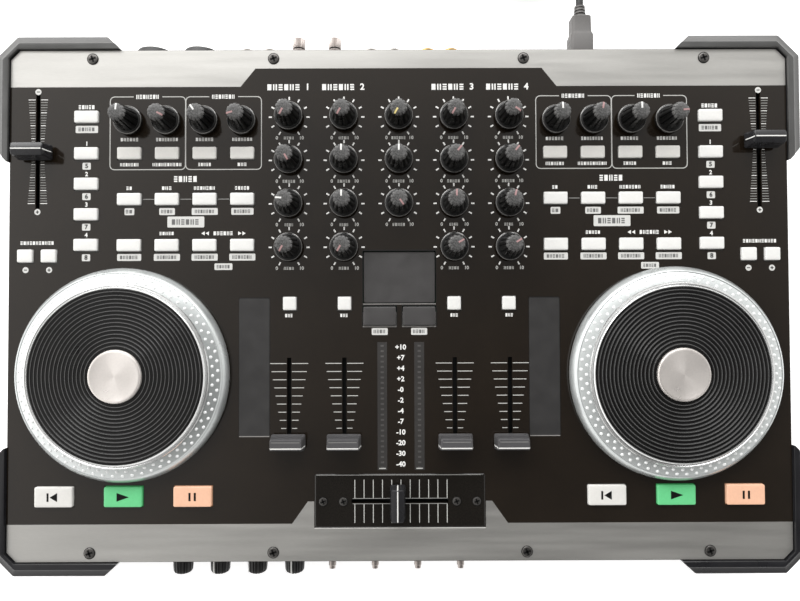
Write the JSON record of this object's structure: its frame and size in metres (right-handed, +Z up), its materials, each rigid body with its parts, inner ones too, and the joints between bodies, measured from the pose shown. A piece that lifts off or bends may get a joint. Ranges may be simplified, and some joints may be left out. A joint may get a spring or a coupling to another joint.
{
  "type": "dj controller",
  "caption": "Four-channel DJ controller: steel case on corner bumpers, two jog wheels, mixer knobs and faders, key mats and a coiled USB lead.",
  "frame": {"origin": "on the surface it stands on, under the centre of the faceplate", "axes": "+X to the user's right along the case's width, +Y to the rear where the sockets are, +Z up"},
  "size_m": [0.464, 0.4363, 0.0645],
  "materials": {
    "faceplate_enamel": "gloss black enamel with brushed silver bands at front and rear and fine white markings",
    "chassis_steel": "satin black powder coat",
    "bumper_rubber": "matt dark grey moulded rubber",
    "circuit_board": "green solder mask, black and nickel sockets",
    "knob_plastic": "black, finely ribbed, with a light pointer",
    "fader_plastic": "satin dark grey with a white index line",
    "jog_wheel": "silver translucent rim, black grooved disc, turned aluminium centre",
    "key_white": "white silicone",
    "key_green": "lit green silicone with a black triangle",
    "key_orange": "lit pale orange silicone with two bars",
    "switch_nickel": "nickel plated levers",
    "usb_plug": "grey moulded plug with a ribbed strain relief and a nickel shell",
    "usb_cord": "dark grey PVC sheath"
  },
  "bodies": {
    "housing": {"faceplate": "faceplate_enamel", "bottom_chassis": "chassis_steel", "bumper_rear_left": "bumper_rubber", "bumper_rear_right": "bumper_rubber", "bumper_front_left": "bumper_rubber", "bumper_front_right": "bumper_rubber", "circuit_board": "circuit_board", "usb_plug_b": "usb_plug", "usb_cord": "usb_cord", "usb_cord_coil": "usb_cord", "usb_plug_a": "usb_plug"},
    "jog_wheel_left": {"jog_wheel_left": "jog_wheel"},
    "jog_wheel_right": {"jog_wheel_right": "jog_wheel"},
    "channel_1_gain_knob": {"channel_1_gain_knob": "knob_plastic"},
    "channel_1_treble_knob": {"channel_1_treble_knob": "knob_plastic"},
    "channel_1_mid_knob": {"channel_1_mid_knob": "knob_plastic"},
    "channel_1_bass_knob": {"channel_1_bass_knob": "knob_plastic"},
    "channel_2_gain_knob": {"channel_2_gain_knob": "knob_plastic"},
    "channel_2_treble_knob": {"channel_2_treble_knob": "knob_plastic"},
    "channel_2_mid_knob": {"channel_2_mid_knob": "knob_plastic"},
    "channel_2_bass_knob": {"channel_2_bass_knob": "knob_plastic"},
    "channel_3_gain_knob": {"channel_3_gain_knob": "knob_plastic"},
    "channel_3_treble_knob": {"channel_3_treble_knob": "knob_plastic"},
    "channel_3_mid_knob": {"channel_3_mid_knob": "knob_plastic"},
    "channel_3_bass_knob": {"channel_3_bass_knob": "knob_plastic"},
    "channel_4_gain_knob": {"channel_4_gain_knob": "knob_plastic"},
    "channel_4_treble_knob": {"channel_4_treble_knob": "knob_plastic"},
    "channel_4_mid_knob": {"channel_4_mid_knob": "knob_plastic"},
    "channel_4_bass_knob": {"channel_4_bass_knob": "knob_plastic"},
    "master_level_knob": {"master_level_knob": "knob_plastic"},
    "balance_knob": {"balance_knob": "knob_plastic"},
    "booth_level_knob": {"booth_level_knob": "knob_plastic"},
    "left_effect_knob_1": {"left_effect_knob_1": "knob_plastic"},
    "left_effect_knob_2": {"left_effect_knob_2": "knob_plastic"},
    "left_effect_knob_3": {"left_effect_knob_3": "knob_plastic"},
    "left_effect_knob_4": {"left_effect_knob_4": "knob_plastic"},
    "right_effect_knob_1": {"right_effect_knob_1": "knob_plastic"},
    "right_effect_knob_2": {"right_effect_knob_2": "knob_plastic"},
    "right_effect_knob_3": {"right_effect_knob_3": "knob_plastic"},
    "right_effect_knob_4": {"right_effect_knob_4": "knob_plastic"},
    "front_knob_1": {"front_knob_1": "knob_plastic"},
    "front_knob_2": {"front_knob_2": "knob_plastic"},
    "front_knob_3": {"front_knob_3": "knob_plastic"},
    "front_knob_4": {"front_knob_4": "knob_plastic"},
    "front_switches": {"front_switches": "switch_nickel"},
    "pitch_fader_left": {"pitch_fader_left": "fader_plastic"},
    "pitch_fader_right": {"pitch_fader_right": "fader_plastic"},
    "channel_1_fader": {"channel_1_fader": "fader_plastic"},
    "channel_2_fader": {"channel_2_fader": "fader_plastic"},
    "channel_3_fader": {"channel_3_fader": "fader_plastic"},
    "channel_4_fader": {"channel_4_fader": "fader_plastic"},
    "crossfader": {"crossfader": "fader_plastic"},
    "cue_key_left": {"cue_key_left": "key_white"},
    "play_key_left": {"play_key_left": "key_green"},
    "pause_key_left": {"pause_key_left": "key_orange"},
    "cue_key_right": {"cue_key_right": "key_white"},
    "play_key_right": {"play_key_right": "key_green"},
    "pause_key_right": {"pause_key_right": "key_orange"},
    "keypad_left": {"keypad_left": "key_white"},
    "keypad_right": {"keypad_right": "key_white"}
  },
  "joints": [
    {"name": "jog_wheel_left_spin", "type": "hinge", "parent": "housing", "child": "jog_wheel_left", "pos_m": [-0.1572, -0.0403, 0.046], "axis": [0, 0, 1], "continuous": true},
    {"name": "jog_wheel_right_spin", "type": "hinge", "parent": "housing", "child": "jog_wheel_right", "pos_m": [0.1572, -0.0403, 0.046], "axis": [0, 0, 1], "continuous": true},
    {"name": "channel_1_gain_turn", "type": "hinge", "parent": "housing", "child": "channel_1_gain_knob", "pos_m": [-0.0632, 0.1076, 0.046], "axis": [0, 0, 1], "range_deg": [-300, 0]},
    {"name": "channel_1_treble_turn", "type": "hinge", "parent": "housing", "child": "channel_1_treble_knob", "pos_m": [-0.0632, 0.0825, 0.046], "axis": [0, 0, 1], "range_deg": [0, 300]},
    {"name": "channel_1_mid_turn", "type": "hinge", "parent": "housing", "child": "channel_1_mid_knob", "pos_m": [-0.0632, 0.0574, 0.046], "axis": [0, 0, 1], "range_deg": [-235, 65]},
    {"name": "channel_1_bass_turn", "type": "hinge", "parent": "housing", "child": "channel_1_bass_knob", "pos_m": [-0.0632, 0.0323, 0.046], "axis": [0, 0, 1], "range_deg": [-300, 0]},
    {"name": "channel_2_gain_turn", "type": "hinge", "parent": "housing", "child": "channel_2_gain_knob", "pos_m": [-0.0316, 0.1076, 0.046], "axis": [0, 0, 1], "range_deg": [-300, 0]},
    {"name": "channel_2_treble_turn", "type": "hinge", "parent": "housing", "child": "channel_2_treble_knob", "pos_m": [-0.0316, 0.0825, 0.046], "axis": [0, 0, 1], "range_deg": [-150, 150]},
    {"name": "channel_2_mid_turn", "type": "hinge", "parent": "housing", "child": "channel_2_mid_knob", "pos_m": [-0.0316, 0.0574, 0.046], "axis": [0, 0, 1], "range_deg": [-150, 150]},
    {"name": "channel_2_bass_turn", "type": "hinge", "parent": "housing", "child": "channel_2_bass_knob", "pos_m": [-0.0316, 0.0323, 0.046], "axis": [0, 0, 1], "range_deg": [-300, 0]},
    {"name": "channel_3_gain_turn", "type": "hinge", "parent": "housing", "child": "channel_3_gain_knob", "pos_m": [0.0316, 0.1076, 0.046], "axis": [0, 0, 1], "range_deg": [-300, 0]},
    {"name": "channel_3_treble_turn", "type": "hinge", "parent": "housing", "child": "channel_3_treble_knob", "pos_m": [0.0316, 0.0825, 0.046], "axis": [0, 0, 1], "range_deg": [-110, 190]},
    {"name": "channel_3_mid_turn", "type": "hinge", "parent": "housing", "child": "channel_3_mid_knob", "pos_m": [0.0316, 0.0574, 0.046], "axis": [0, 0, 1], "range_deg": [-150, 150]},
    {"name": "channel_3_bass_turn", "type": "hinge", "parent": "housing", "child": "channel_3_bass_knob", "pos_m": [0.0316, 0.0323, 0.046], "axis": [0, 0, 1], "range_deg": [-90, 210]},
    {"name": "channel_4_gain_turn", "type": "hinge", "parent": "housing", "child": "channel_4_gain_knob", "pos_m": [0.0632, 0.1076, 0.046], "axis": [0, 0, 1], "range_deg": [-25, 275]},
    {"name": "channel_4_treble_turn", "type": "hinge", "parent": "housing", "child": "channel_4_treble_knob", "pos_m": [0.0632, 0.0825, 0.046], "axis": [0, 0, 1], "range_deg": [-110, 190]},
    {"name": "channel_4_mid_turn", "type": "hinge", "parent": "housing", "child": "channel_4_mid_knob", "pos_m": [0.0632, 0.0574, 0.046], "axis": [0, 0, 1], "range_deg": [-135, 165]},
    {"name": "channel_4_bass_turn", "type": "hinge", "parent": "housing", "child": "channel_4_bass_knob", "pos_m": [0.0632, 0.0323, 0.046], "axis": [0, 0, 1], "range_deg": [-93, 207]},
    {"name": "master_level_turn", "type": "hinge", "parent": "housing", "child": "master_level_knob", "pos_m": [0, 0.1076, 0.046], "axis": [0, 0, 1], "range_deg": [-300, 0]},
    {"name": "balance_turn", "type": "hinge", "parent": "housing", "child": "balance_knob", "pos_m": [0, 0.0825, 0.046], "axis": [0, 0, 1], "range_deg": [-150, 150]},
    {"name": "booth_level_turn", "type": "hinge", "parent": "housing", "child": "booth_level_knob", "pos_m": [0, 0.0574, 0.046], "axis": [0, 0, 1], "range_deg": [-3, 297]},
    {"name": "left_effect_turn_1", "type": "hinge", "parent": "housing", "child": "left_effect_knob_1", "pos_m": [-0.15505, 0.1052, 0.046], "axis": [0, 0, 1], "continuous": true},
    {"name": "left_effect_turn_2", "type": "hinge", "parent": "housing", "child": "left_effect_knob_2", "pos_m": [-0.1334, 0.1052, 0.046], "axis": [0, 0, 1], "continuous": true},
    {"name": "left_effect_turn_3", "type": "hinge", "parent": "housing", "child": "left_effect_knob_3", "pos_m": [-0.11175, 0.1052, 0.046], "axis": [0, 0, 1], "continuous": true},
    {"name": "left_effect_turn_4", "type": "hinge", "parent": "housing", "child": "left_effect_knob_4", "pos_m": [-0.0901, 0.1052, 0.046], "axis": [0, 0, 1], "continuous": true},
    {"name": "right_effect_turn_1", "type": "hinge", "parent": "housing", "child": "right_effect_knob_1", "pos_m": [0.0901, 0.1052, 0.046], "axis": [0, 0, 1], "continuous": true},
    {"name": "right_effect_turn_2", "type": "hinge", "parent": "housing", "child": "right_effect_knob_2", "pos_m": [0.11175, 0.1052, 0.046], "axis": [0, 0, 1], "continuous": true},
    {"name": "right_effect_turn_3", "type": "hinge", "parent": "housing", "child": "right_effect_knob_3", "pos_m": [0.1334, 0.1052, 0.046], "axis": [0, 0, 1], "continuous": true},
    {"name": "right_effect_turn_4", "type": "hinge", "parent": "housing", "child": "right_effect_knob_4", "pos_m": [0.15505, 0.1052, 0.046], "axis": [0, 0, 1], "continuous": true},
    {"name": "front_knob_1_turn", "type": "hinge", "parent": "housing", "child": "front_knob_1", "pos_m": [-0.1302, -0.1467, 0.026], "axis": [0, -1, 0], "range_deg": [-300, 0]},
    {"name": "front_knob_2_turn", "type": "hinge", "parent": "housing", "child": "front_knob_2", "pos_m": [-0.1079, -0.1467, 0.026], "axis": [0, -1, 0], "range_deg": [-176, 124]},
    {"name": "front_knob_3_turn", "type": "hinge", "parent": "housing", "child": "front_knob_3", "pos_m": [-0.0856, -0.1467, 0.026], "axis": [0, -1, 0], "range_deg": [-202, 98]},
    {"name": "front_knob_4_turn", "type": "hinge", "parent": "housing", "child": "front_knob_4", "pos_m": [-0.0633, -0.1467, 0.026], "axis": [0, -1, 0], "range_deg": [-162, 138]},
    {"name": "front_switches_flip", "type": "hinge", "parent": "housing", "child": "front_switches", "pos_m": [-0.00222, -0.1427, 0.026], "axis": [1, 0, 0], "range_deg": [0, 26]},
    {"name": "pitch_fader_left_slide", "type": "slide", "parent": "housing", "child": "pitch_fader_left", "axis": [0, 1, 0], "range_m": [-0.0288, 0.0312]},
    {"name": "pitch_fader_right_slide", "type": "slide", "parent": "housing", "child": "pitch_fader_right", "axis": [0, 1, 0], "range_m": [-0.0346, 0.0254]},
    {"name": "channel_1_fader_slide", "type": "slide", "parent": "housing", "child": "channel_1_fader", "axis": [0, 1, 0], "range_m": [0, 0.045]},
    {"name": "channel_2_fader_slide", "type": "slide", "parent": "housing", "child": "channel_2_fader", "axis": [0, 1, 0], "range_m": [0, 0.045]},
    {"name": "channel_3_fader_slide", "type": "slide", "parent": "housing", "child": "channel_3_fader", "axis": [0, 1, 0], "range_m": [0, 0.045]},
    {"name": "channel_4_fader_slide", "type": "slide", "parent": "housing", "child": "channel_4_fader", "axis": [0, 1, 0], "range_m": [0, 0.045]},
    {"name": "crossfader_slide", "type": "slide", "parent": "housing", "child": "crossfader", "axis": [1, 0, 0], "range_m": [-0.0212, 0.0238]},
    {"name": "cue_key_left_press", "type": "slide", "parent": "housing", "child": "cue_key_left", "axis": [0, 0, 1], "range_m": [-0.0012, 0], "stiffness_N_per_m": 300, "springref_m": 0.001},
    {"name": "play_key_left_press", "type": "slide", "parent": "housing", "child": "play_key_left", "axis": [0, 0, 1], "range_m": [-0.0012, 0], "stiffness_N_per_m": 300, "springref_m": 0.001},
    {"name": "pause_key_left_press", "type": "slide", "parent": "housing", "child": "pause_key_left", "axis": [0, 0, 1], "range_m": [-0.0012, 0], "stiffness_N_per_m": 300, "springref_m": 0.001},
    {"name": "cue_key_right_press", "type": "slide", "parent": "housing", "child": "cue_key_right", "axis": [0, 0, 1], "range_m": [-0.0012, 0], "stiffness_N_per_m": 300, "springref_m": 0.001},
    {"name": "play_key_right_press", "type": "slide", "parent": "housing", "child": "play_key_right", "axis": [0, 0, 1], "range_m": [-0.0012, 0], "stiffness_N_per_m": 300, "springref_m": 0.001},
    {"name": "pause_key_right_press", "type": "slide", "parent": "housing", "child": "pause_key_right", "axis": [0, 0, 1], "range_m": [-0.0012, 0], "stiffness_N_per_m": 300, "springref_m": 0.001},
    {"name": "keypad_left_press", "type": "slide", "parent": "housing", "child": "keypad_left", "axis": [0, 0, 1], "range_m": [-0.001, 0], "stiffness_N_per_m": 500, "springref_m": 0.001},
    {"name": "keypad_right_press", "type": "slide", "parent": "housing", "child": "keypad_right", "axis": [0, 0, 1], "range_m": [-0.001, 0], "stiffness_N_per_m": 500, "springref_m": 0.001}
  ]
}
